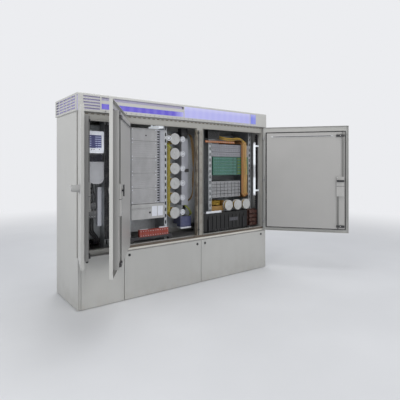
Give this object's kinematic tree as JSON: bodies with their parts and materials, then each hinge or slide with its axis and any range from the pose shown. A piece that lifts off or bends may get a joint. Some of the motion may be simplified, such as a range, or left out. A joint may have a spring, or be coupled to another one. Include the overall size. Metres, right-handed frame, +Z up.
{
  "type": "roadside utility cabinet",
  "caption": "Free-standing street cabinet with three open doors on a plinth, a louvred canopy with light bands, rod locks, and metering, splicing and rack gear inside.",
  "frame": {"origin": "middle of the footprint, on the ground, centred between the anchor holes", "axes": "+X to the right along the front, +Y to the back, +Z up; the doors are on the -Y side"},
  "size_m": [2.3858, 1.0723, 1.457],
  "materials": {
    "body_paint": "fine textured powder coat",
    "frame_paint": "smooth powder coat",
    "liner_paint": "smooth powder coat",
    "slat_paint": "smooth powder coat",
    "zinc_steel": "galvanised",
    "bright_steel": "zinc plated",
    "dark_steel": "blackened",
    "handle_grey": "satin",
    "lock_black": "fine grain",
    "seal_rubber": "foam",
    "gland_rubber": "matt",
    "cable_black": "satin jacket",
    "light_panel": "frosted, lit from behind",
    "meter_white": "satin",
    "box_grey": "satin",
    "box_white": "satin",
    "breaker_grey": "satin",
    "module_grey": "satin",
    "duct_grey": "satin",
    "drum_white": "satin",
    "terminal_red": "satin",
    "lamp_white": "opal",
    "rack_grey": "textured powder coat",
    "patch_grey": "textured powder coat",
    "panel_green": "satin",
    "tray_ochre": "satin",
    "power_black": "satin",
    "fibre_orange": "satin jacket"
  },
  "bodies": {
    "cabinet": {"base_frame": "zinc_steel", "plinth_panel_left": "body_paint", "plinth_panel_middle": "body_paint", "plinth_panel_right": "body_paint", "plinth_locks": "lock_black", "side_panel_left": "body_paint", "side_panel_right": "body_paint", "rear_panel": "body_paint", "floor_plate": "frame_paint", "cable_glands": "gland_rubber", "front_frame": "frame_paint", "roof_plate": "frame_paint", "bay_partition": "frame_paint", "canopy_cover": "body_paint", "canopy_slats": "slat_paint", "canopy_lights": "light_panel", "hinge_lugs": "bright_steel", "hinge_pins": "bright_steel", "equipment_uprights": "zinc_steel", "mounting_plates": "zinc_steel", "energy_meter": "meter_white", "service_box": "box_grey", "breaker_block": "breaker_grey", "power_cables": "cable_black", "termination_modules": "module_grey", "cable_ducts": "duct_grey", "splice_box": "box_white", "bend_drums": "drum_white", "terminal_block": "terminal_red", "work_lamps": "lamp_white", "rack_units": "rack_grey", "splice_panel": "panel_green", "patch_unit": "patch_grey", "fibre_tray": "tray_ochre", "power_unit": "power_black", "fibre_bundles": "fibre_orange"},
    "door_1": {"door_1_skin": "body_paint", "door_1_liner": "liner_paint", "door_1_seal": "seal_rubber", "door_1_lock_housing": "lock_black"},
    "handle_1": {"door_1_handle": "handle_grey", "door_1_lock_spindle": "dark_steel"},
    "rod_upper_1": {"door_1_rod_upper": "bright_steel"},
    "rod_lower_1": {"door_1_rod_lower": "bright_steel"},
    "door_2": {"door_2_skin": "body_paint", "door_2_liner": "liner_paint", "door_2_seal": "seal_rubber", "door_2_lock_housing": "lock_black"},
    "key_2": {"door_2_key_disc": "bright_steel", "door_2_lock_spindle": "dark_steel"},
    "rod_upper_2": {"door_2_rod_upper": "bright_steel"},
    "rod_lower_2": {"door_2_rod_lower": "bright_steel"},
    "door_3": {"door_3_skin": "body_paint", "door_3_liner": "liner_paint", "door_3_seal": "seal_rubber", "door_3_lock_housing": "lock_black"},
    "key_3": {"door_3_key_disc": "bright_steel", "door_3_lock_spindle": "dark_steel"},
    "rod_upper_3": {"door_3_rod_upper": "bright_steel"},
    "rod_lower_3": {"door_3_rod_lower": "bright_steel"}
  },
  "joints": [
    {"name": "door_1_swing", "type": "hinge", "parent": "cabinet", "child": "door_1", "pos_m": [-0.889, -0.227, 0.843], "axis": [0, 0, -1], "range_deg": [-40, 24]},
    {"name": "handle_1_turn", "type": "hinge", "parent": "door_1", "child": "handle_1", "pos_m": [-0.95708, -0.46443, 0.83], "axis": [-0.9613, 0.2756, 0], "range_deg": [0, 90]},
    {"name": "rod_upper_1_slide", "type": "slide", "parent": "door_1", "child": "rod_upper_1", "axis": [0, 0, 1], "range_m": [0, 0.0189]},
    {"name": "rod_lower_1_slide", "type": "slide", "parent": "door_1", "child": "rod_lower_1", "axis": [0, 0, -1], "range_m": [0, 0.0189]},
    {"name": "door_2_swing", "type": "hinge", "parent": "cabinet", "child": "door_2", "pos_m": [-0.554, -0.227, 0.843], "axis": [0, 0, -1], "range_deg": [-122.3, 7.7]},
    {"name": "key_2_turn", "type": "hinge", "parent": "door_2", "child": "key_2", "pos_m": [-0.87728, -0.73838, 0.83], "axis": [-0.8453, 0.5344, 0], "range_deg": [0, 90]},
    {"name": "rod_upper_2_slide", "type": "slide", "parent": "door_2", "child": "rod_upper_2", "axis": [0, 0, 1], "range_m": [0, 0.0189]},
    {"name": "rod_lower_2_slide", "type": "slide", "parent": "door_2", "child": "rod_lower_2", "axis": [0, 0, -1], "range_m": [0, 0.0189]},
    {"name": "door_3_swing", "type": "hinge", "parent": "cabinet", "child": "door_3", "pos_m": [0.889, -0.227, 0.843], "axis": [0, 0, 1], "range_deg": [-128.5, 1.5]},
    {"name": "key_3_turn", "type": "hinge", "parent": "door_3", "child": "key_3", "pos_m": [1.31418, -0.76152, 0.83], "axis": [-0.7826, -0.6225, 0], "range_deg": [0, 90]},
    {"name": "rod_upper_3_slide", "type": "slide", "parent": "door_3", "child": "rod_upper_3", "axis": [0, 0, 1], "range_m": [0, 0.0189]},
    {"name": "rod_lower_3_slide", "type": "slide", "parent": "door_3", "child": "rod_lower_3", "axis": [0, 0, -1], "range_m": [0, 0.0189]}
  ],
  "couplings": [
    {"joint": "rod_upper_1_slide", "follows": "handle_1_turn", "m_per_rad": 0.012},
    {"joint": "rod_lower_1_slide", "follows": "handle_1_turn", "m_per_rad": 0.012},
    {"joint": "rod_upper_2_slide", "follows": "key_2_turn", "m_per_rad": 0.012},
    {"joint": "rod_lower_2_slide", "follows": "key_2_turn", "m_per_rad": 0.012},
    {"joint": "rod_upper_3_slide", "follows": "key_3_turn", "m_per_rad": 0.012},
    {"joint": "rod_lower_3_slide", "follows": "key_3_turn", "m_per_rad": 0.012}
  ]
}
